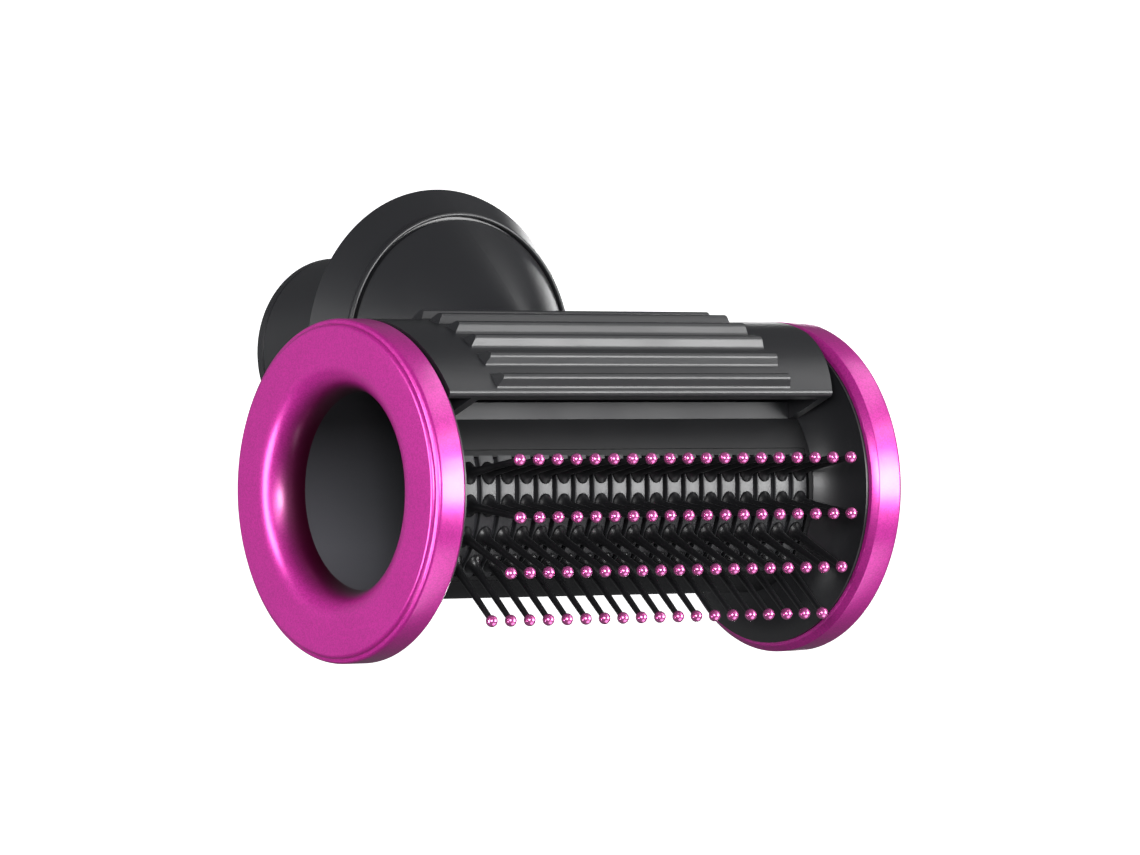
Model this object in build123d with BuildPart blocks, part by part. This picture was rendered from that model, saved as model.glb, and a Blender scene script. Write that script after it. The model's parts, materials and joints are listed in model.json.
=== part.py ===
from build123d import *
import os
from math import cos, radians, sin

# A round hot-air brush head that clips to the front of a hair dryer.
# +X runs along the barrel, +Y points back to the dryer, +Z is up.
# The origin is on the neck axis, in the plane of the collar's seat.
# All sizes are in millimetres and degrees.

# ---- driving dimensions -------------------------------------------------
ring_radius = 30.0            # the two coloured rings and the outer shell
barrel_length = 105.0         # over the two rings
ring_width = 7.1
barrel_radius = 19.1          # the skin that carries the brush
bore_radius = 17.3            # the open tube through the barrel
neck_reach = 39.6             # barrel axis to the collar's seat
neck_rise = 24.5              # neck axis above the barrel axis
collar_radius = 29.6
collar_front_radius = 25.4
collar_depth = 5.9
hub_radius = 17.5
hub_length = 33.0             # behind the seat
wall = 2.0                    # outer shell
thin_wall = 0.8               # barrel skin, bore tube and brush bed
fit_gap = 0.1                 # between pieces that are assembled
swivel_gap = 0.3              # between the head and the collar
bearing_gap = 0.07            # radial, between the swivel's two races

lip_angle = 34.0              # the shell's front edge, above the horizontal
slot_angle = 40.4             # where the air blade meets the barrel
slot_height = 0.5             # the air outlet
rib_count = 6
rib_first_angle = 1.5         # from the top, towards the front
rib_pitch_angle = 9.75
rib_height = 1.65
rib_foot_angle = 7.8
rib_left = -35.0
rib_right = 30.6

pin_rows = 4
pin_columns = 19
pin_pitch = 4.107
pin_first_angle = 9.7         # the top row, above the horizontal
pin_row_angle = 17.0
pin_tip_radius = 33.6         # centre of the ball, from the barrel axis
ball_radius = 1.05

# ---- derived places -----------------------------------------------------
lip_thickness = 0.88          # measured upright, from the shell's front edge to the outlet
half_length = barrel_length / 2
ring_inner_x = half_length - ring_width
end_wall_x = 1.335 * ring_radius
flange_radius = 0.945 * ring_radius
skin_inner = barrel_radius - thin_wall
tube_outer = bore_radius + thin_wall
bed_half_length = 1.3 * ring_radius
bed_top_angle = 22.0
bed_bottom_angle = -55.0
lip_underside = ring_radius * sin(radians(lip_angle)) - lip_thickness
blade_top = lip_underside - slot_height

barrel_axis = Axis((0, -neck_reach, -neck_rise), (1, 0, 0))


def lengthwise_plane(direction=1):
    """The plane through the barrel axis: x along the barrel, y is the radius."""
    return Plane(origin=(0, -neck_reach, -neck_rise), x_dir=(direction, 0, 0), z_dir=(0, -direction, 0))


def cross_plane(x):
    """The plane across the barrel at x: its x points back, its y points up."""
    return Plane(origin=(x, -neck_reach, -neck_rise), x_dir=(0, 1, 0), z_dir=(1, 0, 0))


def front_point(radius, angle):
    """A point of a cross section, at an angle above the front horizontal."""
    return (-radius * cos(radians(angle)), radius * sin(radians(angle)))


def sector(radius, start_angle, end_angle):
    """A wedge of a cross section, between two angles above the front horizontal."""
    start, end = front_point(radius, start_angle), front_point(radius, end_angle)
    with BuildSketch(Plane.XY) as wedge:
        with BuildLine():
            Line((0, 0), start)
            ThreePointArc(start, front_point(radius, (start_angle + end_angle) / 2), end)
            Line(end, (0, 0))
        make_face()
    return wedge.sketch_local


os.makedirs("parts", exist_ok=True)

# ---- barrel: rings, flanges, tube and skin ------------------------------
ring_edge_round = 1.8
ring_back_chamfer = 0.9
trumpet_mouth = 0.75 * ring_radius
trumpet_depth = ring_width - 0.5
flare_rim_width = 0.6
flare_tangent = (1, 0.75)

for side, direction in (("left", -1), ("right", 1)):
    with BuildPart() as end_ring:
        with BuildSketch(lengthwise_plane(direction)):
            with BuildLine():
                throat = (half_length - trumpet_depth, bore_radius)
                mouth = (half_length, trumpet_mouth)
                Polyline(
                    throat,
                    (half_length - trumpet_depth, tube_outer + fit_gap),
                    (ring_inner_x, tube_outer + fit_gap),
                    (ring_inner_x, ring_radius - ring_back_chamfer),
                    (ring_inner_x + ring_back_chamfer, ring_radius),
                    (half_length - ring_edge_round, ring_radius),
                )
                RadiusArc(
                    (half_length - ring_edge_round, ring_radius),
                    (half_length, ring_radius - ring_edge_round),
                    ring_edge_round,
                )
                Line((half_length, ring_radius - ring_edge_round), mouth)
                EllipticalCenterArc(
                    (half_length - trumpet_depth, trumpet_mouth),
                    trumpet_depth,
                    trumpet_mouth - bore_radius,
                    start_angle=270,
                    arc_size=90,
                )
            make_face()
        revolve(axis=barrel_axis)
    end_ring.part.label = f"{side}_end_ring"
    export_step(end_ring.part, f"parts/{side}_end_ring.step")

    # a dark flare that leads from the barrel out to the ring
    with BuildPart() as end_flange:
        with BuildSketch(lengthwise_plane(direction)):
            with BuildLine():
                flare_foot = (end_wall_x + fit_gap / 2, barrel_radius)
                flare_rim = (ring_inner_x - fit_gap - flare_rim_width, flange_radius)
                TangentArc(flare_foot, flare_rim, tangent=flare_tangent)
                Polyline(
                    flare_rim,
                    (ring_inner_x - fit_gap, flange_radius),
                    (ring_inner_x - fit_gap, tube_outer + fit_gap),
                    (end_wall_x + fit_gap / 2, tube_outer + fit_gap),
                    flare_foot,
                )
            make_face()
        revolve(axis=barrel_axis)
    end_flange.part.label = f"{side}_end_flange"
    export_step(end_flange.part, f"parts/{side}_end_flange.step")

with BuildPart() as bore_tube:
    with BuildSketch(cross_plane(trumpet_depth - half_length)):
        Circle(tube_outer)
        Circle(bore_radius, mode=Mode.SUBTRACT)
    extrude(amount=barrel_length - 2 * trumpet_depth)
bore_tube.part.label = "bore_tube"
export_step(bore_tube.part, "parts/bore_tube.step")

skin_half_length = end_wall_x - fit_gap / 2
window_margin_angle = 0.3     # round the edge of the brush bed
with BuildPart() as barrel_skin:
    with BuildSketch(cross_plane(-skin_half_length)):
        Circle(barrel_radius)
        Circle(skin_inner, mode=Mode.SUBTRACT)
    extrude(amount=2 * skin_half_length)
    with BuildSketch(cross_plane(-bed_half_length - fit_gap)):
        add(sector(
            2 * barrel_radius, bed_bottom_angle - window_margin_angle, bed_top_angle + window_margin_angle
        ))
    extrude(amount=2 * (bed_half_length + fit_gap), mode=Mode.SUBTRACT)
barrel_skin.part.label = "barrel_skin"
export_step(barrel_skin.part, "parts/barrel_skin.step")

# ---- brush bed, pins and ball tips --------------------------------------
slot_width = 0.9
slot_top_angle = 18.5
slot_bottom_angle = -51.0
pin_root_radius = 0.75
pin_foot_radius = 1.5
pin_flare = ((0.88, 0.95), (0.64, 2.6))    # radius and height above the foot
pin_end_radius = 0.46
ball_bore_radius = 0.48
pin_foot = barrel_radius + 0.03

row_angles = [pin_first_angle - row * pin_row_angle for row in range(pin_rows)]
row_planes = [
    Plane(
        origin=(0, -neck_reach, -neck_rise),
        x_dir=(1, 0, 0),
        z_dir=(0, -cos(radians(angle)), sin(radians(angle))),
    )
    for angle in row_angles
]

with BuildPart() as brush_bed:
    with BuildSketch(cross_plane(-bed_half_length)):
        add(sector(barrel_radius, bed_bottom_angle, bed_top_angle))
        Circle(skin_inner, mode=Mode.SUBTRACT)
    extrude(amount=2 * bed_half_length)
    # one long slot on each side of every column of pins
    for gap in range(pin_columns + 1):
        slot_x = (gap - pin_columns / 2) * pin_pitch
        with BuildSketch(cross_plane(slot_x - slot_width / 2)):
            add(sector(2 * barrel_radius, slot_bottom_angle, slot_top_angle))
        extrude(amount=slot_width, mode=Mode.SUBTRACT)
    for row_plane in row_planes:
        with Locations(row_plane):
            with GridLocations(pin_pitch, 1, pin_columns, 1):
                Cylinder(
                    pin_root_radius,
                    2 * barrel_radius,
                    align=(Align.CENTER, Align.CENTER, Align.MIN),
                    mode=Mode.SUBTRACT,
                )
brush_bed.part.label = "brush_bed"
export_step(brush_bed.part, "parts/brush_bed.step")

with BuildPart() as one_pin:
    with BuildSketch(Plane.XZ):
        with BuildLine():
            flare_middle, flare_top = [(radius, pin_foot + height) for radius, height in pin_flare]
            Polyline(
                (0, skin_inner),
                (pin_root_radius, skin_inner),
                (pin_root_radius, pin_foot),
                (pin_foot_radius, pin_foot),
            )
            ThreePointArc((pin_foot_radius, pin_foot), flare_middle, flare_top)
            Polyline(flare_top, (pin_end_radius, pin_tip_radius), (0, pin_tip_radius), (0, skin_inner))
        make_face()
    revolve(axis=Axis.Z)

with BuildPart() as one_ball:
    with Locations((0, 0, pin_tip_radius)):
        Sphere(ball_radius)
        Cylinder(
            ball_bore_radius,
            2 * ball_radius,
            align=(Align.CENTER, Align.CENTER, Align.MAX),
            mode=Mode.SUBTRACT,
        )

for number, row_plane in enumerate(row_planes, start=1):
    with BuildPart() as pin_row:
        with Locations(row_plane):
            with GridLocations(pin_pitch, 1, pin_columns, 1):
                add(one_pin.part)
    pin_row.part.label = f"pin_row_{number}"
    export_step(pin_row.part, f"parts/pin_row_{number}.step")

    with BuildPart() as ball_tips:
        with Locations(row_plane):
            with GridLocations(pin_pitch, 1, pin_columns, 1):
                add(one_ball.part)
    ball_tips.part.label = f"ball_tips_{number}"
    export_step(ball_tips.part, f"parts/ball_tips_{number}.step")

# ---- outer shell with the neck dome -------------------------------------
under_tangent_angle = -75.0   # where the underside meets the barrel, from the back
under_corner_angle = -24.7    # where it leaves the round of the shell
under_corner_round = 8.0
cavity_foot_angle = -48.0     # the same two places inside the wall
cavity_corner_angle = -22.2
cavity_front = -13.2          # back of the solid lip
dome_rear = collar_depth + swivel_gap + 0.55
dome_rim_radius = 24.0
dome_tip = 31.0
dome_tangent = (-1, -0.8)     # direction of the dome's section where it leaves its rim
race_radius = 18.5            # outside of the collar's spigot
race_depth = 1.5              # thickness of the dome's inner flange
skirt_inner = flange_radius + fit_gap
dome_wall = 3.7               # measured square to the neck axis, at the rim
dome_blend = 1.5
rib_root = 0.4                # how far a rib reaches into the shell
rib_flank_angle = 58.0        # slope of a rib's sides
rib_crown_round = 0.9
rib_foot_round = 0.85
rib_left_lean = 1.2
rib_right_lean = 0.4
rib_sink = 0.05               # the foot rounds run out just inside the shell
lip_round = 0.9
outlet_floor = 4.0            # how far the outlet's cut goes below the slot
front_corner = (17.55, flange_radius)    # radii where a slanted front corner starts and ends
back_corner = (-9.0, 0.0)


def back_point(radius, angle):
    """A point of a cross section, at an angle above the back horizontal."""
    return (radius * cos(radians(angle)), radius * sin(radians(angle)))


def shell_outline(radius, corner_angle, foot_angle, corner_round, lip_radius=0):
    """The cross section of the shell, or of the cavity inside it."""
    corner = back_point(radius, corner_angle)
    foot = back_point(barrel_radius, foot_angle)
    lip = front_point(radius, lip_angle)
    with BuildSketch(Plane.XY) as outline:
        with BuildLine():
            ThreePointArc(lip, (0, radius), corner)
            Polyline(corner, foot, (0, 0), front_point(barrel_radius, slot_angle), lip)
        make_face()
        fillet(outline.vertices().sort_by_distance(Vector(*corner))[0], corner_round)
        if lip_radius:
            fillet(outline.vertices().sort_by_distance(Vector(*lip))[0], lip_radius)
    return outline.sketch_local


def dome_profile(rear, rim_radius, tip):
    """Half of the dome's section: x along the neck axis, y is the radius."""
    with BuildSketch(Plane.XY) as profile:
        with BuildLine():
            TangentArc((-rear, rim_radius), (-tip, 0), tangent=dome_tangent)
            Polyline((-tip, 0), (-rear, 0), (-rear, rim_radius))
        make_face()
    return profile.sketch_local


dome_inside = dome_profile(dome_rear + race_depth, dome_rim_radius - dome_wall, dome_tip - wall)

rib_base = ring_radius * cos(radians(rib_foot_angle / 2)) - rib_sink
rib_half_width = ring_radius * sin(radians(rib_foot_angle / 2))
crown_centre = ring_radius + rib_height - rib_crown_round


def crown_point(angle):
    """A point of a rib's crown, at an angle from its top."""
    return (
        rib_crown_round * sin(radians(angle)),
        crown_centre + rib_crown_round * cos(radians(angle)),
    )


def foot_point(angle, side):
    """A point of a rib's foot round, at an angle up from where it leaves the shell."""
    return (
        side * (rib_half_width - rib_foot_round * sin(radians(angle))),
        rib_base + rib_foot_round * (1 - cos(radians(angle))),
    )


with BuildPart() as one_rib:
    with BuildSketch(Plane.YZ.offset((rib_left - rib_right) / 2)):
        with BuildLine():
            Polyline(
                foot_point(0, -1),
                (-rib_half_width, rib_base - rib_root),
                (rib_half_width, rib_base - rib_root),
                foot_point(0, 1),
            )
            for side in (-1, 1):
                ThreePointArc(
                    foot_point(0, side),
                    foot_point(rib_flank_angle / 2, side),
                    foot_point(rib_flank_angle, side),
                )
                Line(foot_point(rib_flank_angle, side), crown_point(side * rib_flank_angle))
            ThreePointArc(crown_point(-rib_flank_angle), crown_point(0), crown_point(rib_flank_angle))
        make_face()
    extrude(amount=rib_right - rib_left)
    # both ends lean inwards
    half_rib = (rib_right - rib_left) / 2
    for side, lean in ((-1, rib_left_lean), (1, rib_right_lean)):
        with BuildSketch(Plane.XZ):
            Polygon(
                (side * half_rib, rib_base),
                (side * (half_rib - lean), rib_base + rib_height),
                (side * (half_rib - 2 * lean), rib_base + 2 * rib_height),
                (side * half_rib, rib_base + 2 * rib_height),
                align=None,
            )
        extrude(amount=rib_half_width, both=True, mode=Mode.SUBTRACT)

with BuildPart() as outer_shell:
    with BuildSketch(cross_plane(fit_gap - ring_inner_x)):
        add(shell_outline(
            ring_radius, under_corner_angle, under_tangent_angle, under_corner_round, lip_round
        ))
    extrude(amount=2 * (ring_inner_x - fit_gap))
    # the dome that joins the barrel to the collar
    with BuildSketch(Plane.YZ):
        add(dome_profile(dome_rear, dome_rim_radius, dome_tip))
    revolve(axis=Axis.Y)
    fillet(outer_shell.edges(Select.NEW), dome_blend)
    # air cavity behind the lip
    with BuildSketch(cross_plane(wall - end_wall_x)):
        add(shell_outline(
            ring_radius - wall, cavity_corner_angle, cavity_foot_angle, under_corner_round - wall
        ))
        with Locations((cavity_front, 0)):
            Rectangle(
                3 * ring_radius, 3 * ring_radius, align=(Align.MAX, Align.CENTER), mode=Mode.SUBTRACT
            )
    extrude(amount=2 * (end_wall_x - wall), mode=Mode.SUBTRACT)
    # air outlet under the lip
    with BuildSketch(cross_plane(wall - end_wall_x)):
        with Locations((cavity_front + fit_gap, lip_underside)):
            Rectangle(ring_radius, 2 * slot_height + outlet_floor, align=(Align.MAX, Align.MAX))
    extrude(amount=2 * (end_wall_x - wall), mode=Mode.SUBTRACT)
    # inside of the dome, and the round race that turns on the collar
    with BuildSketch(Plane.YZ):
        add(dome_inside)
    revolve(axis=Axis.Y, mode=Mode.SUBTRACT)
    with BuildSketch(Plane.XZ):
        Circle(race_radius + bearing_gap)
    extrude(amount=dome_rear + 2 * race_depth, mode=Mode.SUBTRACT)
    # room for the collar's bead all the way round
    with BuildSketch(Plane.XZ):
        Circle(collar_radius)
        Circle(dome_rim_radius, mode=Mode.SUBTRACT)
    extrude(amount=dome_rear + swivel_gap + fit_gap, mode=Mode.SUBTRACT)
    with BuildSketch(Plane.XZ):
        Circle(collar_radius)
    extrude(amount=dome_rear, mode=Mode.SUBTRACT)
    # room for the barrel skin and the end flanges
    with BuildSketch(cross_plane(-half_length)):
        Circle(barrel_radius + fit_gap / 2)
    extrude(amount=barrel_length, mode=Mode.SUBTRACT)
    for start in (-ring_inner_x, end_wall_x):
        with BuildSketch(cross_plane(start)):
            Circle(skirt_inner)
        extrude(amount=ring_inner_x - end_wall_x, mode=Mode.SUBTRACT)
    # slanted corners where the shell leaves the rings: one at the front, two at the back
    with BuildSketch(lengthwise_plane()):
        Polygon(
            (end_wall_x, front_corner[0]),
            (ring_inner_x, front_corner[1]),
            (half_length, front_corner[1]),
            (half_length, 0),
            (end_wall_x, 0),
            align=None,
        )
    extrude(amount=2 * ring_radius, mode=Mode.SUBTRACT)
    for direction in (-1, 1):
        with BuildSketch(lengthwise_plane(direction)):
            Polygon(
                (end_wall_x, back_corner[0]),
                (ring_inner_x, back_corner[1]),
                (half_length, back_corner[1]),
                (half_length, -ring_radius),
                (end_wall_x, -ring_radius),
                align=None,
            )
        extrude(amount=-direction * 2 * ring_radius, mode=Mode.SUBTRACT)
    # grip ribs along the top
    for rib in range(rib_count):
        angle = radians(rib_first_angle + rib * rib_pitch_angle)
        rib_plane = Plane(
            origin=((rib_left + rib_right) / 2, -neck_reach, -neck_rise),
            x_dir=(1, 0, 0),
            z_dir=(0, -sin(angle), cos(angle)),
        )
        with Locations(rib_plane):
            add(one_rib.part)
outer_shell.part.label = "outer_shell"
export_step(outer_shell.part, "parts/outer_shell.step")

# ---- air path inside the shell ------------------------------------------
cavity_half_length = end_wall_x - wall
shield_radius = ring_radius - wall - 2 * fit_gap
shield_thickness = 0.5
shield_front_angle = 63.0
shield_back_angle = 195.0
vane_positions = (-26.0, -13.0, 13.0, 26.0)
vane_thickness = 1.2
vane_front_angle = 76.0
vane_back_angle = 150.0
blade_lean = 0.25

with BuildPart() as air_blade:
    with BuildSketch(cross_plane(fit_gap - cavity_half_length)):
        blade_foot = front_point(barrel_radius, slot_angle)
        Polygon(
            blade_foot,
            (blade_foot[0] + blade_lean, blade_top),
            (-barrel_radius / 2, blade_top),
            (-barrel_radius / 2, blade_foot[1]),
            align=None,
        )
        Circle(barrel_radius + fit_gap / 2, mode=Mode.SUBTRACT)
    extrude(amount=2 * (cavity_half_length - fit_gap))
air_blade.part.label = "air_blade"
export_step(air_blade.part, "parts/air_blade.step")

with BuildPart() as heat_shield:
    with BuildSketch(cross_plane(fit_gap - cavity_half_length)):
        add(sector(shield_radius, shield_front_angle, shield_back_angle))
        Circle(shield_radius - shield_thickness, mode=Mode.SUBTRACT)
    extrude(amount=2 * (cavity_half_length - fit_gap))
    with BuildSketch(Plane.YZ):
        add(dome_inside)
    revolve(axis=Axis.Y, mode=Mode.SUBTRACT)
heat_shield.part.label = "heat_shield"
export_step(heat_shield.part, "parts/heat_shield.step")

with BuildPart() as air_vanes:
    for vane_x in vane_positions:
        with BuildSketch(cross_plane(vane_x - vane_thickness / 2)):
            add(sector(shield_radius - shield_thickness - fit_gap, vane_front_angle, vane_back_angle))
            Circle(barrel_radius + fit_gap, mode=Mode.SUBTRACT)
        extrude(amount=vane_thickness)
air_vanes.part.label = "air_vanes"
export_step(air_vanes.part, "parts/air_vanes.step")

# ---- collar and its swivel ----------------------------------------------
spigot_end = 10.0             # how far the spigot reaches forward of the seat
spigot_inner = 17.2
inlet_radius = 21.1
inlet_depth = 1.2
seat_edge_break = 0.4
bead_round = 0.45
magnet_channel = (21.9, 26.3, 2.8)    # inner radius, outer radius, depth
gasket_channel = (27.2, 28.5, 0.5)
clip_front = 9.5
clip_back = 8.6
clip_groove_radius = 17.9
clip_outer_radius = 19.0
clip_opening = 6.0
clip_play = 0.02
washer_thickness = 0.6
washer_outer = 21.8
magnet_count = 8
magnet_radius = 1.6
seat_plate_thickness = 0.6


def turned_ring(inner, outer, front, back):
    """The section of a plain ring about the neck axis: x along it, y is the radius."""
    with BuildSketch(Plane.XY) as ring_section:
        Polygon((-front, inner), (-back, inner), (-back, outer), (-front, outer), align=None)
    return ring_section.sketch_local


with BuildPart() as collar:
    with BuildSketch(Plane.YZ):
        Polygon(
            (0, inlet_radius),
            (0, collar_radius - seat_edge_break),
            (-seat_edge_break, collar_radius),
            (-collar_depth, collar_front_radius),
            (-collar_depth, race_radius),
            (-spigot_end, race_radius),
            (-spigot_end, spigot_inner),
            (-collar_depth, spigot_inner),
            (-inlet_depth, inlet_radius),
            align=None,
        )
        for inner, outer, depth in (magnet_channel, gasket_channel):
            add(turned_ring(inner, outer, depth, 0), mode=Mode.SUBTRACT)
        add(turned_ring(clip_groove_radius, race_radius, clip_front, clip_back), mode=Mode.SUBTRACT)
    revolve(axis=Axis.Y)
    with BuildSketch(Plane.YZ):
        bead_inner = collar_front_radius - 2 * bead_round
        add(turned_ring(
            bead_inner, collar_front_radius, collar_depth + bead_round, collar_depth - bead_round
        ))
        with Locations((-collar_depth - bead_round, collar_front_radius - bead_round)):
            Circle(bead_round)
    revolve(axis=Axis.Y)
collar.part.label = "collar"
export_step(collar.part, "parts/collar.step")

with BuildPart() as swivel_washer:
    with BuildSketch(Plane.YZ):
        add(turned_ring(
            race_radius + bearing_gap, washer_outer, collar_depth + washer_thickness, collar_depth
        ))
    revolve(axis=Axis.Y)
swivel_washer.part.label = "swivel_washer"
export_step(swivel_washer.part, "parts/swivel_washer.step")

with BuildPart() as retaining_clip:
    with BuildSketch(Plane.YZ):
        add(turned_ring(
            clip_groove_radius + fit_gap / 2, clip_outer_radius, clip_front - clip_play, clip_back + clip_play
        ))
    revolve(axis=Axis.Y)
    with Locations((0, -clip_front, -race_radius)):
        Box(clip_opening, clip_outer_radius, clip_outer_radius - spigot_inner, mode=Mode.SUBTRACT)
retaining_clip.part.label = "retaining_clip"
export_step(retaining_clip.part, "parts/retaining_clip.step")

magnet_circle = (magnet_channel[0] + magnet_channel[1]) / 2
magnet_places = [
    Plane(
        origin=(
            magnet_circle * cos(radians(angle)),
            -seat_plate_thickness,
            magnet_circle * sin(radians(angle)),
        ),
        x_dir=(1, 0, 0),
        z_dir=(0, -1, 0),
    )
    for angle in (step * 360 / magnet_count for step in range(magnet_count))
]
magnet_length = magnet_channel[2] - seat_plate_thickness - fit_gap

with BuildPart() as magnet_carrier:
    with BuildSketch(Plane.YZ):
        add(turned_ring(
            magnet_channel[0] + fit_gap,
            magnet_channel[1] - fit_gap,
            magnet_channel[2],
            seat_plate_thickness,
        ))
    revolve(axis=Axis.Y)
    for place in magnet_places:
        with BuildSketch(place):
            Circle(magnet_radius + fit_gap / 2)
        extrude(amount=magnet_length, mode=Mode.SUBTRACT)
magnet_carrier.part.label = "magnet_carrier"
export_step(magnet_carrier.part, "parts/magnet_carrier.step")

with BuildPart() as magnets:
    for place in magnet_places:
        with BuildSketch(place):
            Circle(magnet_radius)
        extrude(amount=magnet_length)
magnets.part.label = "magnets"
export_step(magnets.part, "parts/magnets.step")

with BuildPart() as seat_plate:
    with BuildSketch(Plane.YZ):
        add(turned_ring(magnet_channel[0] + fit_gap, magnet_channel[1] - fit_gap, seat_plate_thickness, 0))
    revolve(axis=Axis.Y)
seat_plate.part.label = "seat_plate"
export_step(seat_plate.part, "parts/seat_plate.step")

with BuildPart() as seat_gasket:
    with BuildSketch(Plane.YZ):
        add(turned_ring(gasket_channel[0] + fit_gap, gasket_channel[1] - fit_gap, gasket_channel[2], 0))
    revolve(axis=Axis.Y)
seat_gasket.part.label = "seat_gasket"
export_step(seat_gasket.part, "parts/seat_gasket.step")

# ---- hub that plugs into the dryer --------------------------------------
hub_wall = 1.3
hub_front = 1.0               # the tube starts this far forward of the seat
end_ring_length = 2.8
end_groove_depth = 0.4
end_groove_width = 0.4
end_edge_break = 0.2
end_round = 1.0
end_land = 0.4                # from the inner edge of the rolled end to its tip
nose_tip = 13.0
nose_plug = 4.0
nose_middle = (8.06, 8.6)     # a place on the cone: forward of the seat, and its radius
nose_step = 0.1
strut_foot = 8.0
strut_count = 6
strut_thickness = 1.2
strut_front = 5.2
strut_back = 1.5
tube_end = hub_length - end_ring_length

with BuildPart() as hub_tube:
    with BuildSketch(Plane.YZ):
        add(turned_ring(hub_radius - hub_wall, hub_radius, hub_front, -tube_end))
    revolve(axis=Axis.Y)
hub_tube.part.label = "hub_tube"
export_step(hub_tube.part, "parts/hub_tube.step")

# soft ring with a rolled edge, behind a fine groove
with BuildPart() as hub_end_ring:
    with BuildSketch(Plane.YZ):
        with BuildLine():
            Polyline(
                (tube_end, hub_radius - hub_wall),
                (tube_end, hub_radius - end_groove_depth),
                (tube_end + end_groove_width, hub_radius - end_groove_depth),
                (tube_end + end_groove_width + end_edge_break, hub_radius),
                (hub_length - end_round, hub_radius),
            )
            RadiusArc(
                (hub_length - end_round, hub_radius), (hub_length, hub_radius - end_round), end_round
            )
            Polyline(
                (hub_length, hub_radius - end_round),
                (hub_length - end_land, hub_radius - hub_wall),
                (tube_end, hub_radius - hub_wall),
            )
        make_face()
    revolve(axis=Axis.Y)
hub_end_ring.part.label = "hub_end_ring"
export_step(hub_end_ring.part, "parts/hub_end_ring.step")

# cone that turns the air round the hub, with the struts that hold it in the collar
with BuildPart() as hub_nose:
    with BuildSketch(Plane.YZ):
        with BuildLine():
            nose_shoulder = (-hub_front - fit_gap / 2, hub_radius - nose_step)
            ThreePointArc((-nose_tip, 0), (-nose_middle[0], nose_middle[1]), nose_shoulder)
            plug_radius = hub_radius - hub_wall - fit_gap / 2
            Polyline(
                nose_shoulder,
                (nose_shoulder[0], plug_radius),
                (nose_plug, plug_radius),
                (nose_plug, 0),
                (-nose_tip, 0),
            )
        make_face()
    revolve(axis=Axis.Y)
    passage_slope = (inlet_radius - spigot_inner) / (collar_depth - inlet_depth)
    for step in range(strut_count):
        angle = radians(step * 360 / strut_count)
        strut_plane = Plane(origin=(0, 0, 0), x_dir=(0, 1, 0), z_dir=(cos(angle), 0, sin(angle)))
        with BuildSketch(strut_plane):
            Polygon(
                (-strut_front, strut_foot),
                (-strut_front, spigot_inner + (collar_depth - strut_front) * passage_slope - fit_gap / 2),
                (-strut_back, spigot_inner + (collar_depth - strut_back) * passage_slope - fit_gap / 2),
                (-strut_back, strut_foot),
                align=None,
            )
        extrude(amount=strut_thickness / 2, both=True)
hub_nose.part.label = "hub_nose"
export_step(hub_nose.part, "parts/hub_nose.step")
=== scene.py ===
"""Looks of a round hot-air brush head, built around its CAD frame."""
import json
import math

import bmesh
import bpy
from mathutils import Matrix, Vector


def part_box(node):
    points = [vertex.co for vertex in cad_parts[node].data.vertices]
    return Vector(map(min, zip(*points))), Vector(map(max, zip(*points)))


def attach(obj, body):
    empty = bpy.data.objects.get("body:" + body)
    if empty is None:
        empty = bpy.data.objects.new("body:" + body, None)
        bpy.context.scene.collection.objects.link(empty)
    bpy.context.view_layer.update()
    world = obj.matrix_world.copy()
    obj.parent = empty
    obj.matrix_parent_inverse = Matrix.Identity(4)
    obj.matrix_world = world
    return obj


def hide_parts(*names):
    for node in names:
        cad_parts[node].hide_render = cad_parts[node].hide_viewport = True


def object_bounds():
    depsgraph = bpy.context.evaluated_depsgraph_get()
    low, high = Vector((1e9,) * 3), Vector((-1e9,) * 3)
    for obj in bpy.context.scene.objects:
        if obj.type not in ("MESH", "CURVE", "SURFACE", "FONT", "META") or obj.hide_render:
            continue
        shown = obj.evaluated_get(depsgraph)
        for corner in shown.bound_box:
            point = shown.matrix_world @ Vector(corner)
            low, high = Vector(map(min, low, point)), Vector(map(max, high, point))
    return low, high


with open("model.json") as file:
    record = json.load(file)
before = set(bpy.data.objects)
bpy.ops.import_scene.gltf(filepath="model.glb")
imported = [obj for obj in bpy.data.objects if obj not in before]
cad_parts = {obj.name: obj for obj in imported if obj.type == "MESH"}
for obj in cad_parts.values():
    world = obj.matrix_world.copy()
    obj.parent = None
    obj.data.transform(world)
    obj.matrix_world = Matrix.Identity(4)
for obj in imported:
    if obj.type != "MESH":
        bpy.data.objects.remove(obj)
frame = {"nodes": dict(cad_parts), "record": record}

bl_info = {
    "name": "Hot Air Brush Head",
    "version": (1, 0, 0),
    "blender": (4, 5, 0),
    "location": "View3D > Sidebar > Brush Head",
    "description": "Makes the pieces and finishes of a round hot-air brush head",
    "category": "Add Mesh",
}

CAD_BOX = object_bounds()
MM = 0.001


# ---- places read from the frame ----------------------------------------------
def middle(node):
    """The centre of a CAD node's box."""
    low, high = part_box(node)
    return (low + high) / 2


def radius_of(node):
    """Half the height of a round CAD node's box."""
    low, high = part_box(node)
    return (high.z - low.z) / 2


BARREL_Y = middle("right_end_ring").y
BARREL_Z = middle("right_end_ring").z
BARREL_FRAME = Matrix(((1, 0, 0, 0), (0, 0, -1, BARREL_Y), (0, 1, 0, BARREL_Z), (0, 0, 0, 1)))
RING_RADIUS = radius_of("right_end_ring")
RING_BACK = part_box("right_end_ring")[0].x
RING_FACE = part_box("right_end_ring")[1].x
SKIN_RADIUS = radius_of("barrel_skin")
TUBE_OUTER = radius_of("bore_tube")
TUBE_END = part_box("bore_tube")[1].x
BED_HALF_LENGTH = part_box("brush_bed")[1].x

# ---- pins and bed ----------------------------------------------------------------
PIN_COLUMNS = 19
PIN_PITCH = 4.107 * MM
PIN_FOOT_STRETCH = 1.35
PIN_BALL_CENTRE = 33.6 * MM
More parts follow.
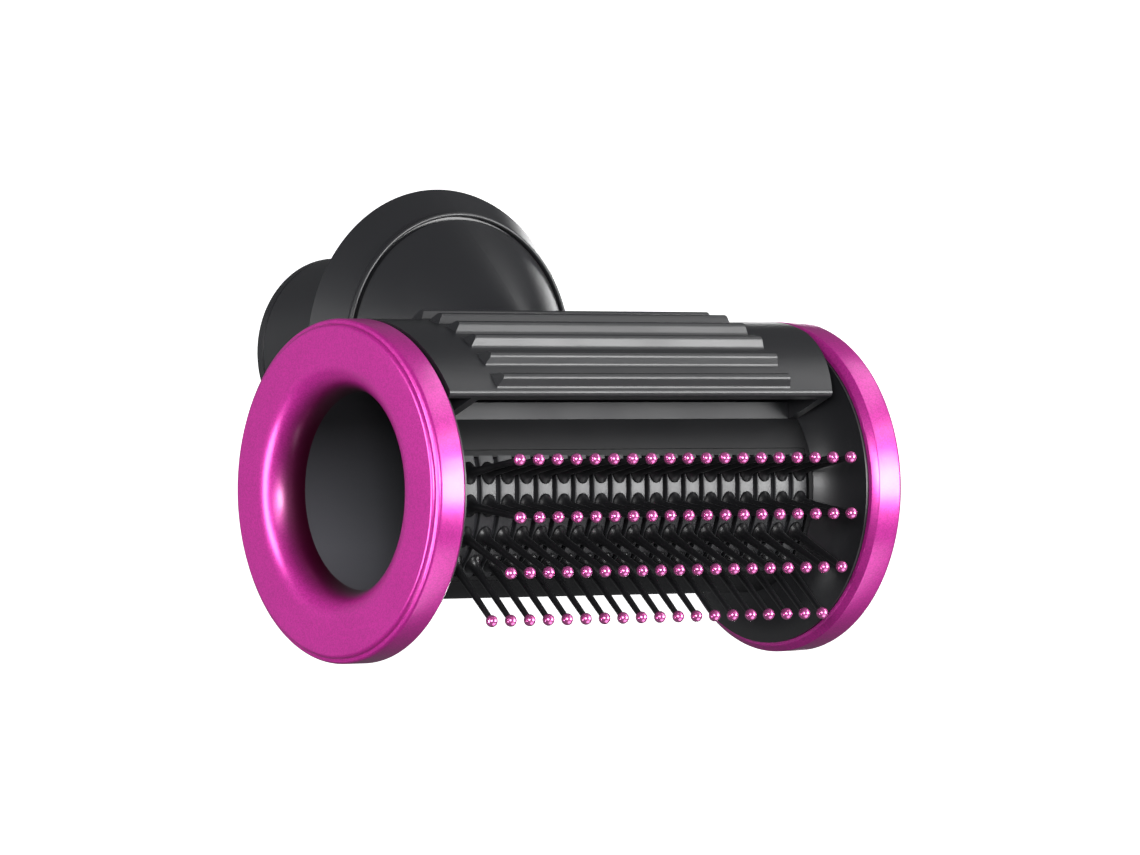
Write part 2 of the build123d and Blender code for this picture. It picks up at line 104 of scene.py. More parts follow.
# Angles above the front, in degrees.
ROW_ANGLES = (9.7, -7.3, -24.3, -41.3)
BAR_ANGLES = (-51.5, 19.0)
RAIL_ANGLES = {"bed_upper_rail": (18.4, 22.0), "bed_lower_rail": (-55.0, -50.9)}
BED_DEPTH = 0.8 * MM

# ---- meshes and finishes -----------------------------------------------------------
MERGE_DISTANCE = 1e-7
# Edges sharper than this stay sharp, in degrees.
EDGE_ANGLE = 35
BUMP_DEPTH = 0.02 * MM
GRIT_SCALE = 5200
# Painted shade: the rings' colour at the throat, where the dark bore's shade and reflection fall.
THROAT_PAINTED_SHADE = (0.05, 0.001, 0.015, 1)
# Most of a noise lies between these values.
NOISE_RANGE = (0.3, 0.7)

# ---- studio ------------------------------------------------------------------------
STUDIO_WORLD = (0.9, 0.92, 0.95, 1)
WORLD_STRENGTH = 0.13
# Name, direction from the barrel, distance, width and height, watts.
LIGHTS = (
    ("front_key", (0.58, -0.78, 0.04), 1.0, (0.5, 0.30), 10.0),
    ("front_mid", (0.60, -0.72, 0.24), 1.1, (0.3, 0.10), 1.6),
    ("front_upper", (0.62, -0.62, 0.46), 1.1, (0.8, 0.14), 1.7),
    ("upper_right", (0.62, -0.26, 0.74), 1.1, (0.8, 0.30), 1.8),
    ("camera_side", (-0.62, -0.76, 0.12), 1.1, (0.30, 0.26), 8.0),
    ("left_front", (-0.80, -0.58, 0.20), 1.1, (0.35, 0.35), 2.2),
    ("left_strip", (-1.0, 0.10, 0.02), 0.9, (0.28, 0.8), 10.0),
    ("left_back", (-0.62, 0.78, 0.05), 1.1, (0.9, 0.9), 0.5),
    ("right_rim", (0.72, 0.69, 0.04), 1.1, (0.25, 0.5), 3.0),
    ("below", (0.25, -0.55, -0.80), 1.0, (1.0, 0.8), 5.0),
)

# ---- small mesh tools ----------------------------------------------------------
def arc_points(centre, radii, start, end, steps):
    """Points of an elliptical arc in a profile, angles in degrees."""
    points = []
    for step in range(steps + 1):
        angle = math.radians(start + (end - start) * step / steps)
        points.append((centre[0] + radii[0] * math.cos(angle), centre[1] + radii[1] * math.sin(angle)))
    return points


def rounded(points, radius, steps):
    """A closed profile with its sharp corners rounded, as far as their edges allow."""
    result = []
    count = len(points)
    for index, corner in enumerate(points):
        here = Vector(corner)
        back = Vector(points[index - 1]) - here
        forward = Vector(points[(index + 1) % count]) - here
        turn = math.pi - back.angle(forward)
        if turn < math.radians(20):
            result.append(corner)
            continue
        reach = min(radius * math.tan(turn / 2), back.length * 0.45, forward.length * 0.45)
        start = here + back.normalized() * reach
        end = here + forward.normalized() * reach
        for step in range(steps + 1):
            t = step / steps
            point = start * (1 - t) ** 2 + here * (2 * t * (1 - t)) + end * t ** 2
            result.append((point.x, point.y))
    return result


def mesh_object(name, mesh, edge_angle=EDGE_ANGLE):
    """A new object at the origin, shaded smooth except at its sharp edges."""
    mesh.polygons.foreach_set("use_smooth", [True] * len(mesh.polygons))
    mesh.set_sharp_from_angle(angle=math.radians(edge_angle))
    mesh.update()
    piece = bpy.data.objects.new(name, mesh)
    bpy.context.scene.collection.objects.link(piece)
    return piece


def closed_piece(name, verts, faces, edge_angle=EDGE_ANGLE):
    """A closed piece from its corners and faces, doubled corners merged and faces turned outwards."""
    mesh = bpy.data.meshes.new(name)
    mesh.from_pydata(verts, [], faces)
    work = bmesh.new()
    work.from_mesh(mesh)
    bmesh.ops.remove_doubles(work, verts=work.verts, dist=MERGE_DISTANCE)
    bmesh.ops.recalc_face_normals(work, faces=work.faces)
    work.to_mesh(mesh)
    work.free()
    return mesh_object(name, mesh, edge_angle)


def ring_of_faces(here, there, count):
    """Faces between two neighbouring sections of one closed outline."""
    for index in range(count):
        following = (index + 1) % count
        yield here + index, here + following, there + following, there + index


def lathe(name, profile, place, steps):
    """A closed profile of (along, radius) turned about the first axis of its place."""
    verts = []
    faces = []
    count = len(profile)
    for step in range(steps):
        angle = 2 * math.pi * step / steps
        for along, radius in profile:
            verts.append(place @ Vector((along, radius * math.cos(angle), radius * math.sin(angle))))
        faces += ring_of_faces(step * count, (step + 1) % steps * count, count)
    return closed_piece(name, verts, faces)


def hand_over(piece, body, material, replaced=()):
    """Give a finished piece its material and body, and hide the CAD nodes it stands for."""
    if not piece.data.materials:
        piece.data.materials.append(material)
    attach(piece, body)
    if replaced:
        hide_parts(*replaced)


def repeat_along(name, template, material):
    """A copy of a template at every pin column, made with Geometry Nodes and turned into a plain mesh."""
    tree = bpy.data.node_groups.new(f"{name}_row", "GeometryNodeTree")
    sockets = {}
    for label, kind in (
        ("Template", "NodeSocketObject"),
        ("Count", "NodeSocketInt"),
        ("Pitch", "NodeSocketFloat"),
        ("Material", "NodeSocketMaterial"),
    ):
        sockets[label] = tree.interface.new_socket(label, in_out="INPUT", socket_type=kind).identifier
    tree.interface.new_socket("Geometry", in_out="OUTPUT", socket_type="NodeSocketGeometry")
    inputs = tree.nodes.new("NodeGroupInput")
    output = tree.nodes.new("NodeGroupOutput")
    line = tree.nodes.new("GeometryNodeMeshLine")
    step = tree.nodes.new("ShaderNodeCombineXYZ")
    start = tree.nodes.new("ShaderNodeCombineXYZ")
    reach = tree.nodes.new("ShaderNodeMath")
    gaps = tree.nodes.new("ShaderNodeMath")
    source = tree.nodes.new("GeometryNodeObjectInfo")
    instances = tree.nodes.new("GeometryNodeInstanceOnPoints")
    realized = tree.nodes.new("GeometryNodeRealizeInstances")
    painted = tree.nodes.new("GeometryNodeSetMaterial")
    gaps.operation = "MULTIPLY_ADD"
    gaps.inputs[1].default_value = -0.5
    gaps.inputs[2].default_value = 0.5
    reach.operation = "MULTIPLY"
    link = tree.links.new
    link(inputs.outputs["Count"], gaps.inputs[0])
    link(gaps.outputs[0], reach.inputs[0])
    link(inputs.outputs["Pitch"], reach.inputs[1])
    link(reach.outputs[0], start.inputs["X"])
    link(inputs.outputs["Pitch"], step.inputs["X"])
    link(inputs.outputs["Count"], line.inputs["Count"])
    link(start.outputs[0], line.inputs["Start Location"])
    link(step.outputs[0], line.inputs["Offset"])
    link(inputs.outputs["Template"], source.inputs["Object"])
    link(line.outputs["Mesh"], instances.inputs["Points"])
    link(source.outputs["Geometry"], instances.inputs["Instance"])
    link(instances.outputs["Instances"], realized.inputs["Geometry"])
    link(realized.outputs["Geometry"], painted.inputs["Geometry"])
    link(inputs.outputs["Material"], painted.inputs["Material"])
    link(painted.outputs["Geometry"], output.inputs["Geometry"])

    piece = mesh_object(name, bpy.data.meshes.new(name))
    modifier = piece.modifiers.new("row", "NODES")
    modifier.node_group = tree
    modifier[sockets["Template"]] = template
    modifier[sockets["Count"]] = PIN_COLUMNS
    modifier[sockets["Pitch"]] = PIN_PITCH
    modifier[sockets["Material"]] = material
    graph = bpy.context.evaluated_depsgraph_get()
    made = bpy.data.meshes.new_from_object(piece.evaluated_get(graph))
    piece.modifiers.remove(modifier)
    piece.data = made
    made.name = name
    bpy.data.objects.remove(template)
    bpy.data.node_groups.remove(tree)
    return piece


def swing(angle):
    """Turns a shape that stands up from the barrel axis to an angle above the front."""
    return Matrix.Translation((0, BARREL_Y, BARREL_Z)) @ Matrix.Rotation(
        math.radians(90 - angle), 4, "X"
    )


# ---- materials -------------------------------------------------------------------
def new_material(name):
    """A node material with its nodes and links."""
    material = bpy.data.materials.new(name)
    material.use_nodes = True
    return material, material.node_tree.nodes, material.node_tree.links


def object_noise(nodes, links, scale, detail):
    """A noise on the object's own coordinates."""
    place = nodes.new("ShaderNodeTexCoord")
    noise = nodes.new("ShaderNodeTexNoise")
    noise.inputs["Scale"].default_value = scale
    noise.inputs["Detail"].default_value = detail
    links.new(place.outputs["Object"], noise.inputs["Vector"])
    return noise


def spread(nodes, links, source, low, high):
    """Map a noise's middle range to the range from low to high."""
    ranged = nodes.new("ShaderNodeMapRange")
    ranged.inputs["From Min"].default_value, ranged.inputs["From Max"].default_value = NOISE_RANGE
    ranged.inputs["To Min"].default_value = low
    ranged.inputs["To Max"].default_value = high
    links.new(source, ranged.inputs["Value"])
    return ranged.outputs["Result"]


def tinted(nodes, links, source, colour, depth):
    """A colour that a noise darkens and lightens by depth."""
    mix = nodes.new("ShaderNodeMix")
    mix.data_type = "RGBA"
    mix.inputs["A"].default_value = [c * (1 - depth) for c in colour[:3]] + [1]
    mix.inputs["B"].default_value = [min(1, c * (1 + depth)) for c in colour[:3]] + [1]
    links.new(source, mix.inputs["Factor"])
    return mix.outputs["Result"]


def roughened(nodes, links, source, roughness, reach):
    """Roughness that a noise moves up and down by reach."""
    shader = nodes["Principled BSDF"]
    ranged = spread(nodes, links, source, roughness - reach, roughness + reach)
    links.new(ranged, shader.inputs["Roughness"])


def bumped(nodes, links, source, strength):
    """A fine relief from a noise or a flake pattern."""
    bump = nodes.new("ShaderNodeBump")
    bump.inputs["Strength"].default_value = strength
    bump.inputs["Distance"].default_value = BUMP_DEPTH
    links.new(source, bump.inputs["Height"])
    links.new(bump.outputs["Normal"], nodes["Principled BSDF"].inputs["Normal"])


def moulded_plastic(name, colour, roughness, grain=0.12, specular=0.5):
    """Satin moulded plastic: fine spark-eroded grain and a slight cloudiness."""
    material, nodes, links = new_material(name)
    shader = nodes["Principled BSDF"]
    shader.inputs["Specular IOR Level"].default_value = specular
    cloud = object_noise(nodes, links, 70, 4)
    grit = object_noise(nodes, links, GRIT_SCALE, 2)
    links.new(tinted(nodes, links, cloud.outputs["Fac"], colour, 0.08), shader.inputs["Base Color"])
    roughened(nodes, links, cloud.outputs["Fac"], roughness, 0.03)
    bumped(nodes, links, grit.outputs["Fac"], grain)
    return material


def painted_throat_shade(nodes, links, place, colour):
    """The lacquer's colour with painted shade towards the throat: darker by distance from the barrel's axis,
    standing in for the dark bore's shade and reflection.
    """
    flat = nodes.new("ShaderNodeVectorMath")
    flat.operation = "MULTIPLY"
    flat.inputs[1].default_value = (0, 1, 1)
    distance = nodes.new("ShaderNodeVectorMath")
    distance.operation = "DISTANCE"
    distance.inputs[1].default_value = (0, BARREL_Y, BARREL_Z)
    depth = nodes.new("ShaderNodeMapRange")
    depth.interpolation_type = "SMOOTHSTEP"
    depth.inputs["From Min"].default_value = TUBE_OUTER - 0.9 * MM
    depth.inputs["From Max"].default_value = TUBE_OUTER + 2.2 * MM
    shade = nodes.new("ShaderNodeMix")
    shade.data_type = "RGBA"
    shade.inputs["A"].default_value = THROAT_PAINTED_SHADE
    links.new(place.outputs["Object"], flat.inputs[0])
    links.new(flat.outputs["Vector"], distance.inputs[0])
    links.new(distance.outputs["Value"], depth.inputs["Value"])
    links.new(depth.outputs["Result"], shade.inputs["Factor"])
    links.new(colour, shade.inputs["B"])
    return shade.outputs["Result"]


def painted_bore_light(material, light):
    """The bore's plastic with painted light: paler towards its open ends and its lower side, standing in for
    light that comes in at the open ends.
    """
    dark_end, pale_end = 14 * MM, 46 * MM
    dark_height, pale_height = BARREL_Z + 12 * MM, BARREL_Z - 10 * MM
    nodes, links = material.node_tree.nodes, material.node_tree.links
    shader = nodes["Principled BSDF"]
    plain = shader.inputs["Base Color"].links[0].from_socket
    place = nodes.new("ShaderNodeTexCoord")
    axes = nodes.new("ShaderNodeSeparateXYZ")
    links.new(place.outputs["Object"], axes.inputs["Vector"])
    reach = nodes.new("ShaderNodeMath")
    reach.operation = "ABSOLUTE"
    links.new(axes.outputs["X"], reach.inputs[0])
    along = nodes.new("ShaderNodeMapRange")
    along.interpolation_type = "SMOOTHSTEP"
    along.inputs["From Min"].default_value = dark_end
    along.inputs["From Max"].default_value = pale_end
    links.new(reach.outputs["Value"], along.inputs["Value"])
    across = nodes.new("ShaderNodeMapRange")
    across.inputs["From Min"].default_value = dark_height
    across.inputs["From Max"].default_value = pale_height
    links.new(axes.outputs["Z"], across.inputs["Value"])
    both = nodes.new("ShaderNodeMath")
    both.operation = "MULTIPLY"
    links.new(along.outputs["Result"], both.inputs[0])
    links.new(across.outputs["Result"], both.inputs[1])
    shade = nodes.new("ShaderNodeMix")
    shade.data_type = "RGBA"
    shade.inputs["B"].default_value = (*light, 1)
    links.new(both.outputs["Value"], shade.inputs["Factor"])
    links.new(plain, shade.inputs["A"])
    links.new(shade.outputs["Result"], shader.inputs["Base Color"])
    return material


def metallic_lacquer(name, colour, roughness, flake_scale, metallic=0.5, coat=0.5, tilt=0.08, gloss=0.22):
    """Lacquer with metal flakes that differ in tone and tilt, and painted shade near the throat."""
    material, nodes, links = new_material(name)
    shader = nodes["Principled BSDF"]
    shader.inputs["Metallic"].default_value = metallic
    shader.inputs["Coat Weight"].default_value = coat
    shader.inputs["Coat Roughness"].default_value = gloss
    place = nodes.new("ShaderNodeTexCoord")
    flakes = nodes.new("ShaderNodeTexVoronoi")
    flakes.inputs["Scale"].default_value = flake_scale
    links.new(place.outputs["Object"], flakes.inputs["Vector"])
    tone = nodes.new("ShaderNodeSeparateColor")
    links.new(flakes.outputs["Color"], tone.inputs["Color"])
    flaked = tinted(nodes, links, tone.outputs["Red"], colour, 0.16)
    # Painted shade: the colour darkens near the throat, standing in for the bore's shade and reflection.
    links.new(painted_throat_shade(nodes, links, place, flaked), shader.inputs["Base Color"])
    cloud = object_noise(nodes, links, 120, 3)
    roughened(nodes, links, cloud.outputs["Fac"], roughness, 0.04)
    bumped(nodes, links, tone.outputs["Green"], tilt)
    return material


def brushed_metal(name, colour, roughness):
    """Bare metal with fine streaks."""
    material, nodes, links = new_material(name)
    shader = nodes["Principled BSDF"]
    shader.inputs["Metallic"].default_value = 1.0
    place = nodes.new("ShaderNodeTexCoord")
    stretch = nodes.new("ShaderNodeMapping")
    stretch.inputs["Scale"].default_value = (40, 4000, 4000)
    streaks = nodes.new("ShaderNodeTexNoise")
    links.new(place.outputs["Object"], stretch.inputs["Vector"])
    links.new(stretch.outputs["Vector"], streaks.inputs["Vector"])
    links.new(tinted(nodes, links, streaks.outputs["Fac"], colour, 0.12), shader.inputs["Base Color"])
    roughened(nodes, links, streaks.outputs["Fac"], roughness, 0.06)
    return material


FINISHES = {}


def make_finishes(colours):
    """One material for each slot of the record."""
    dark = colours.shell
    FINISHES["ring_fuchsia"] = metallic_lacquer("fuchsia_lacquer", colours.ring, 0.34, 4200)
    FINISHES["ball_pearl"] = metallic_lacquer(
        "pearl_lacquer", colours.ball, 0.24, 9000, metallic=0.75, coat=1.0, tilt=0.02, gloss=0.06
    )
    FINISHES["shell_graphite"] = moulded_plastic("graphite_satin", dark, 0.35, specular=0.42)
    # Painted shade: the skin's graphite at half brightness, for the shadow of the lip and the pins; its matt
    # roughness is the plastic's own.
    FINISHES["skin_dark"] = moulded_plastic(
        "skin_matt_painted_shade", [0.5 * c for c in dark], 0.5, grain=0.1, specular=0.3
    )
    FINISHES["hub_graphite"] = moulded_plastic("graphite_hub", dark, 0.40)
    # Painted light: the bore's colour turns up to seven times paler near its open ends and lower side.
    FINISHES["bore_dark"] = painted_bore_light(
        moulded_plastic("bore_satin_painted_light", dark, 0.40), [c * 7.0 for c in dark]
    )
    FINISHES["bed_grey"] = moulded_plastic("bed_satin", colours.bed, 0.40)
    FINISHES["blade_grey"] = moulded_plastic(
        "blade_satin", [0.7 * c for c in colours.bed], 0.50, specular=0.3
    )
    FINISHES["pin_black"] = moulded_plastic("pin_nylon", colours.pin, 0.34, grain=0.06)
    FINISHES["inner_black"] = moulded_plastic("inner_matt", colours.pin, 0.6)
    FINISHES["seat_dark"] = moulded_plastic("seat_satin", dark, 0.45)
    FINISHES["end_ring_gloss"] = moulded_plastic("end_ring_semi_gloss", dark, 0.25, grain=0.05)
    FINISHES["washer_white"] = moulded_plastic("washer_natural", (0.75, 0.75, 0.72), 0.45)
    FINISHES["gasket_rubber"] = moulded_plastic("gasket_silicone", (0.02, 0.02, 0.021), 0.7)
    FINISHES["shield_foil"] = brushed_metal("shield_aluminium", (0.72, 0.72, 0.74), 0.35)
    FINISHES["spring_steel"] = brushed_metal("clip_steel", (0.50, 0.50, 0.50), 0.3)
    FINISHES["magnet_nickel"] = brushed_metal("magnet_nickel", (0.70, 0.69, 0.66), 0.2)


# ---- properties ------------------------------------------------------------------
class BrushSizes(bpy.types.PropertyGroup):
    ring_round: bpy.props.FloatProperty(
        name="Ring edge", description="Rounding of the rings' front edge", default=0.0008, unit="LENGTH"
    )
    trumpet_width: bpy.props.FloatProperty(
        name="Trumpet width", description="Width of the rings' curved mouth", default=0.0052, unit="LENGTH"
    )
    pin_foot: bpy.props.FloatProperty(
        name="Pin foot", description="Radius of a pin's flared foot", default=0.0015, unit="LENGTH"
    )
    pin_tip: bpy.props.FloatProperty(
        name="Pin tip", description="Radius of a pin below its ball", default=0.00052, unit="LENGTH"
    )
    ball_radius: bpy.props.FloatProperty(
        name="Ball", description="Radius of a pin's ball", default=0.00105, unit="LENGTH"
    )
    slot_width: bpy.props.FloatProperty(
        name="Bed slot", description="Width of the brush bed's slots", default=0.0009, unit="LENGTH"
    )


class BrushColours(bpy.types.PropertyGroup):
    ring: bpy.props.FloatVectorProperty(
        name="Rings", description="Fuchsia of the end rings", subtype="COLOR", default=(0.52, 0.021, 0.30)
    )
    ball: bpy.props.FloatVectorProperty(
        name="Balls", description="Pearl pink of the pins' balls", subtype="COLOR", default=(0.82, 0.16, 0.50)
    )
    shell: bpy.props.FloatVectorProperty(
        name="Shell", description="Graphite of the mouldings", subtype="COLOR", default=(0.015, 0.0152, 0.017)
    )
    bed: bpy.props.FloatVectorProperty(
        name="Bed", description="Grey of the brush bed", subtype="COLOR", default=(0.022, 0.0225, 0.025)
    )
    pin: bpy.props.FloatVectorProperty(
        name="Pins", description="Black of the pins", subtype="COLOR", default=(0.008, 0.008, 0.009)
    )
    backdrop: bpy.props.FloatVectorProperty(
        name="Backdrop", description="Pale floor and backdrop", subtype="COLOR", default=(0.98, 0.98, 0.98)
    )


class BrushStage(bpy.types.PropertyGroup):
    azimuth: bpy.props.FloatProperty(
        name="Azimuth", description="Camera's turn from the front, in degrees", default=-37.83
    )
    elevation: bpy.props.FloatProperty(name="Elevation", description="Camera's height, in degrees", default=0.31)
    distance: bpy.props.FloatProperty(
        name="Distance", description="Camera to barrel", default=1.2728, unit="LENGTH"
    )
    lens: bpy.props.FloatProperty(name="Lens", description="Focal length in millimetres", default=225.9)
    aim_rise: bpy.props.FloatProperty(
        name="Aim rise", description="Height of the aim above the barrel axis", default=0.0109, unit="LENGTH"
    )
    aim_side: bpy.props.FloatProperty(
        name="Aim side", description="Aim to the left of the barrel's middle", default=0.00027, unit="LENGTH"
    )


# ---- pieces ----------------------------------------------------------------------
def ring_profile(side, sizes):
    """Section of an end ring: a tread, a fine groove, a flat face and a trumpet mouth."""
    depth = RING_FACE - TUBE_END
    throat = TUBE_OUTER - 0.8 * MM
    seat = TUBE_OUTER + 0.1 * MM
    lap = RING_BACK - 0.09 * MM
    mouth = throat + sizes.trumpet_width
    edge = sizes.ring_round
    bead = RING_RADIUS - 1.0 * MM
    small = (0.25 * MM, 0.25 * MM)
    shoulder = (0.8 * MM, 0.8 * MM)
    back = [
        (TUBE_END, throat),
        (TUBE_END, seat),
        (lap, seat),
        (lap, RING_RADIUS - 1.5 * MM),
        *arc_points((RING_BACK + 0.25 * MM, RING_RADIUS - 1.15 * MM), small, 180, 135, 3),
        *arc_points((RING_BACK + 1.15 * MM, RING_RADIUS - 0.25 * MM), small, 135, 90, 3),
    ]
    tread = [
        *arc_points((RING_FACE - 1.5 * MM, RING_RADIUS - 0.8 * MM), shoulder, 90, 30, 8),
        (RING_FACE - 0.80 * MM, bead + 0.30 * MM),
    ]
    face = arc_points((RING_FACE - edge, bead - edge + 0.1 * MM), (edge, edge), 80, 0, 10)
    trumpet = arc_points((RING_FACE - depth, mouth), (depth, mouth - throat), 360, 271, 36)
    return [(side * along, radius) for along, radius in back + tread + face + trumpet]


class BRUSH_OT_end_rings(bpy.types.Operator):
    """Make the two metallic end rings"""

    bl_idname = "brush.end_rings"
    bl_label = "End rings"

    def execute(self, context):
        for side, name in ((-1, "left"), (1, "right")):
            profile = ring_profile(side, context.scene.brush_sizes)
            ring = lathe(f"{name}_ring", profile, BARREL_FRAME, 192)
            hand_over(ring, "head", FINISHES["ring_fuchsia"], [f"{name}_end_ring"])
        return {"FINISHED"}


def standing_lathe(name, profile, place, steps, stretch=1.0):
    """A profile of (radius, height, share of stretch) turned about the upright axis, then put in place."""
    verts = []
    faces = []
    count = len(profile)
    for step in range(steps):
        angle = 2 * math.pi * step / steps
        for radius, height, share in profile:
            wide = 1 + (stretch - 1) * share
            verts.append(place @ Vector((radius * math.cos(angle), wide * radius * math.sin(angle), height)))
        here = step * count
        there = (step + 1) % steps * count
        for index in range(count - 1):
            faces.append((here + index, there + index, there + index + 1, here + index + 1))
    return closed_piece(name, verts, faces, edge_angle=50)


class BRUSH_OT_pins(bpy.types.Operator):
    """Make the four rows of tapered pins with flared oval feet"""

    bl_idname = "brush.pins"
    bl_label = "Pins"

    def execute(self, context):
        sizes = context.scene.brush_sizes
        foot = sizes.pin_foot
        tip = sizes.pin_tip
        # Radius, height above the barrel's wall, share of the foot's stretch.
        stem = [
            (0, -0.6 * MM, 1),
            (foot, -0.6 * MM, 1),
            (foot, 0.10 * MM, 1),
            (foot * 0.93, 0.28 * MM, 1),
            (foot * 0.78, 0.55 * MM, 0.85),
            (foot * 0.64, 0.95 * MM, 0.6),
            (foot * 0.54, 1.6 * MM, 0.3),
            (foot * 0.49, 2.6 * MM, 0.1),
            (tip * 1.15, 8 * MM, 0),
        ]
        profile = [(radius, SKIN_RADIUS + height, share) for radius, height, share in stem]
        profile += [
            (tip, PIN_BALL_CENTRE - 0.75 * MM, 0),
            (tip * 0.9, PIN_BALL_CENTRE, 0),
            (0, PIN_BALL_CENTRE, 0),
        ]
        for row, angle in enumerate(ROW_ANGLES, start=1):
            template = standing_lathe("pin", profile, swing(angle), 20, PIN_FOOT_STRETCH)
            pins = repeat_along(f"pins_{row}", template, FINISHES["pin_black"])
            hand_over(pins, "head", FINISHES["pin_black"], [f"pin_row_{row}"])
        return {"FINISHED"}


class BRUSH_OT_balls(bpy.types.Operator):
    """Make the four rows of ball tips"""

    bl_idname = "brush.balls"
    bl_label = "Ball tips"

    def execute(self, context):
        sizes = context.scene.brush_sizes
        radius = sizes.ball_radius
        mouth = math.degrees(math.asin(sizes.pin_tip * 1.1 / radius))
        ball = []
        for step in range(21):
            turn = math.radians(step * (180 - mouth) / 20)
            ball.append((radius * math.sin(turn), PIN_BALL_CENTRE + radius * math.cos(turn), 0))
        ball.append((0, PIN_BALL_CENTRE - 0.5 * radius, 0))
        for row, angle in enumerate(ROW_ANGLES, start=1):
            template = standing_lathe("ball", ball, swing(angle), 28)
            balls = repeat_along(f"balls_{row}", template, FINISHES["ball_pearl"])
            hand_over(balls, "head", FINISHES["ball_pearl"], [f"ball_tips_{row}"])
        return {"FINISHED"}


def curved_bar(name, half_width, angles, outer, edge, steps):
    """A bar bent round the barrel between two angles, its outer edges rounded."""
    inner = SKIN_RADIUS - BED_DEPTH
    section = rounded(
        [(-half_width, inner), (half_width, inner), (half_width, outer), (-half_width, outer)], edge, 3
    )
    low, high = angles
    verts = []
    faces = []
    count = len(section)
    for step in range(steps + 1):
        angle = math.radians(low + (high - low) * step / steps)
        for x, radius in section:
            verts.append((x, BARREL_Y - radius * math.cos(angle), BARREL_Z + radius * math.sin(angle)))
    for step in range(steps):
        faces += ring_of_faces(step * count, (step + 1) * count, count)
    faces.append(tuple(range(count)))
    faces.append(tuple(range(steps * count, (steps + 1) * count)))
    return closed_piece(name, verts, faces, edge_angle=40)


class BRUSH_OT_bed(bpy.types.Operator):
    """Make the brush bed: a bar under each column of pins, between two long rails"""

    bl_idname = "brush.bed"
    bl_label = "Brush bed"

    def execute(self, context):
        half_bar = (PIN_PITCH - context.scene.brush_sizes.slot_width) / 2
        bar = curved_bar("bar", half_bar, BAR_ANGLES, SKIN_RADIUS, 0.22 * MM, 36)
        bars = repeat_along("bed_bars", bar, FINISHES["bed_grey"])
        hand_over(bars, "head", FINISHES["bed_grey"], ["brush_bed"])
        for name, angles in RAIL_ANGLES.items():
            rail = curved_bar(name, BED_HALF_LENGTH, angles, SKIN_RADIUS - 0.02 * MM, 0.05 * MM, 6)
            # The rails share the skin's finish and its painted shade.
            hand_over(rail, "head", FINISHES["skin_dark"])
        return {"FINISHED"}


class BRUSH_OT_finishes(bpy.types.Operator):
    """Give every CAD node that stays visible its material"""

    bl_idname = "brush.finishes"
    bl_label = "Finishes"

    def execute(self, context):
        make_finishes(context.scene.brush_colours)
        for row in frame["record"]["subparts"]:
            node = frame["nodes"][row["node"]]
            node.data.materials.clear()
            # The barrel skin takes the finish with painted shade instead of its own slot.
            finish = "skin_dark" if row["node"] == "barrel_skin" else row["material_slot"]
            node.data.materials.append(FINISHES[finish])
        return {"FINISHED"}


def area_light(name, place, aim, size, energy):
    """A soft box at a place, turned to its aim."""
    data = bpy.data.lights.new(name, "AREA")
    data.shape = "RECTANGLE"
    data.size, data.size_y = size
    data.energy = energy
    light = bpy.data.objects.new(name, data)
    bpy.context.scene.collection.objects.link(light)
    light.rotation_euler = (aim - place).to_track_quat("-Z", "Y").to_euler()
    light.location = place
    light.visible_camera = False


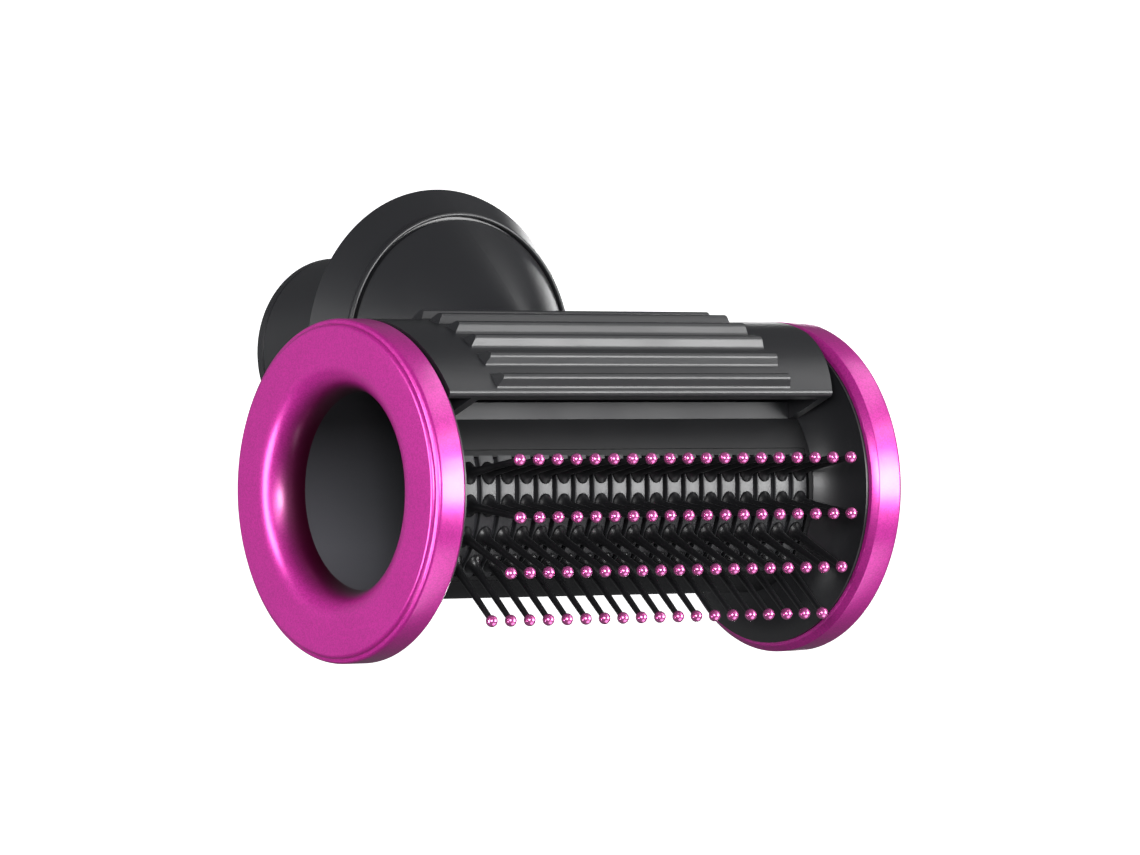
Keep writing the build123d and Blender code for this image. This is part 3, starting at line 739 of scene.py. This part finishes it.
class BRUSH_OT_stage(bpy.types.Operator):
    """Make the pale floor, the lights and the camera"""

    bl_idname = "brush.stage"
    bl_label = "Stage"

    def execute(self, context):
        stage = context.scene.brush_stage
        self.make_floor(context.scene.brush_colours.backdrop, stage.azimuth)
        self.make_camera(context, stage)
        self.make_lights(context)
        return {"FINISHED"}

    def make_floor(self, colour, azimuth):
        """A floor that sweeps up into a backdrop, turned to face the camera."""
        floor_z = CAD_BOX[0][2] - 0.10
        half_width = 3.0
        front, back, bend, top = -3.0, 1.6, 0.8, 3.0
        section = [(front, floor_z)] + arc_points((back - bend, floor_z + bend), (bend, bend), -90, 0, 24)
        section.append((back, top))
        turn = Matrix.Rotation(math.radians(azimuth), 4, "Z")
        verts = []
        for x in (-half_width, half_width):
            verts += [turn @ Vector((x, y, z)) for y, z in section]
        count = len(section)
        faces = [(i, i + 1, count + i + 1, count + i) for i in range(count - 1)]
        mesh = bpy.data.meshes.new("floor")
        mesh.from_pydata(verts, [], faces)
        floor = mesh_object("floor", mesh, edge_angle=60)
        material, nodes, links = new_material("pale_paper")
        shader = nodes["Principled BSDF"]
        shader.inputs["Roughness"].default_value = 0.9
        shader.inputs["Emission Strength"].default_value = 0.9
        paper = object_noise(nodes, links, 30, 3)
        tone = tinted(nodes, links, paper.outputs["Fac"], colour, 0.01)
        links.new(tone, shader.inputs["Base Color"])
        links.new(tone, shader.inputs["Emission Color"])
        mesh.materials.append(material)
        floor.visible_glossy = False
        floor.visible_diffuse = False

    def make_camera(self, context, stage):
        """A long-lens camera level with the barrel."""
        turn = math.radians(-stage.azimuth)
        tilt = math.radians(stage.elevation)
        look = Vector((math.cos(tilt) * math.sin(turn), math.cos(tilt) * math.cos(turn), -math.sin(tilt)))
        right = Vector((math.cos(turn), -math.sin(turn), 0))
        rise = right.cross(look)
        aim = Vector((0, BARREL_Y, BARREL_Z)) + rise * stage.aim_rise - right * stage.aim_side
        data = bpy.data.cameras.new("camera")
        data.lens = stage.lens
        data.sensor_width = 36
        camera = bpy.data.objects.new("camera", data)
        context.scene.collection.objects.link(camera)
        camera.location = aim - look * stage.distance
        camera.rotation_euler = look.to_track_quat("-Z", "Y").to_euler()
        context.scene.camera = camera

    def make_lights(self, context):
        """Soft boxes all round and a dim sky."""
        world = bpy.data.worlds.new("studio")
        context.scene.world = world
        world.use_nodes = True
        sky = world.node_tree.nodes["Background"]
        sky.inputs["Color"].default_value = STUDIO_WORLD
        sky.inputs["Strength"].default_value = WORLD_STRENGTH
        context.scene.view_settings.view_transform = "Standard"
        aim = Vector((0, BARREL_Y, BARREL_Z))
        for name, direction, distance, size, energy in LIGHTS:
            place = aim + Vector(direction).normalized() * distance
            area_light(name, place, aim, size, energy)


PIECE_OPERATORS = (
    BRUSH_OT_finishes,
    BRUSH_OT_end_rings,
    BRUSH_OT_bed,
    BRUSH_OT_pins,
    BRUSH_OT_balls,
    BRUSH_OT_stage,
)


class BRUSH_PT_panel(bpy.types.Panel):
    """Sizes, colours and the buttons that make the pieces"""

    bl_label = "Brush Head"
    bl_idname = "BRUSH_PT_panel"
    bl_space_type = "VIEW_3D"
    bl_region_type = "UI"
    bl_category = "Brush Head"

    def draw(self, context):
        for group in (context.scene.brush_sizes, context.scene.brush_colours, context.scene.brush_stage):
            for name in group.__annotations__:
                self.layout.prop(group, name)
        for operator in PIECE_OPERATORS:
            self.layout.operator(operator.bl_idname)


CLASSES = (BrushSizes, BrushColours, BrushStage) + PIECE_OPERATORS + (BRUSH_PT_panel,)


def register():
    for cls in CLASSES:
        bpy.utils.register_class(cls)
    bpy.types.Scene.brush_sizes = bpy.props.PointerProperty(type=BrushSizes)
    bpy.types.Scene.brush_colours = bpy.props.PointerProperty(type=BrushColours)
    bpy.types.Scene.brush_stage = bpy.props.PointerProperty(type=BrushStage)


def unregister():
    del bpy.types.Scene.brush_sizes
    del bpy.types.Scene.brush_colours
    del bpy.types.Scene.brush_stage
    for cls in reversed(CLASSES):
        bpy.utils.unregister_class(cls)


def main():
    register()
    bpy.ops.brush.finishes()
    bpy.ops.brush.end_rings()
    bpy.ops.brush.bed()
    bpy.ops.brush.pins()
    bpy.ops.brush.balls()
    bpy.ops.brush.stage()


if __name__ == "__main__":
    main()
